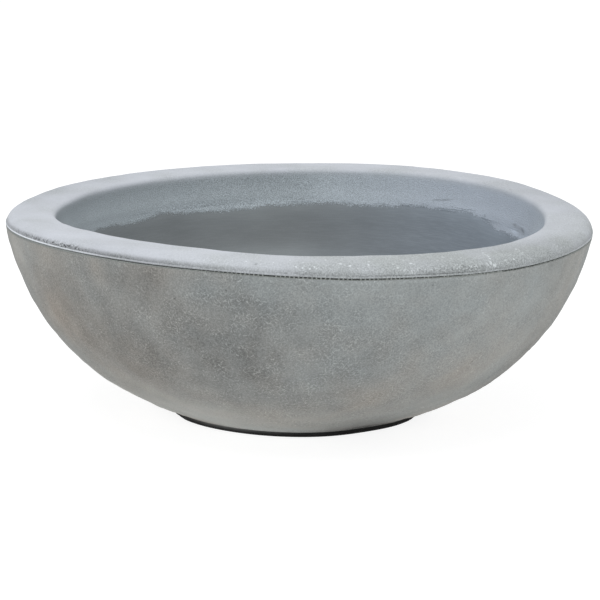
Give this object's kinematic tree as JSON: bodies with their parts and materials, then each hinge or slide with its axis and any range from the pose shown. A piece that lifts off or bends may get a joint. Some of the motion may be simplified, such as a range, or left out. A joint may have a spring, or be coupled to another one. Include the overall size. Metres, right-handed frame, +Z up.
{
  "type": "concrete bowl planter",
  "caption": "Wide shallow planter bowl of cast concrete with a broad coping ring, dark-coated inside, rubber foot ring and a lift-out drain plug.",
  "frame": {"origin": "where the bowl's axis meets the ground it stands on", "axes": "+Z up along the bowl's axis; the bowl is round, and -Y is the side that the picture shows"},
  "size_m": [0.5999, 0.6, 0.21],
  "materials": {
    "wall_concrete": "matte",
    "rim_concrete": "matte",
    "mortar": "matte",
    "sealing_coat": "matte",
    "foot_rubber": "matte",
    "plug_rubber": "matte"
  },
  "bodies": {
    "bowl": {"bowl_shell": "wall_concrete", "rim_ring": "rim_concrete", "joint_mortar": "mortar", "inner_coat": "sealing_coat", "foot_ring": "foot_rubber"},
    "plug": {"drain_plug": "plug_rubber"}
  },
  "joints": [
    {"name": "plug_lift", "type": "slide", "parent": "bowl", "child": "plug", "axis": [0, 0, 1], "range_m": [0, 0.22]}
  ]
}
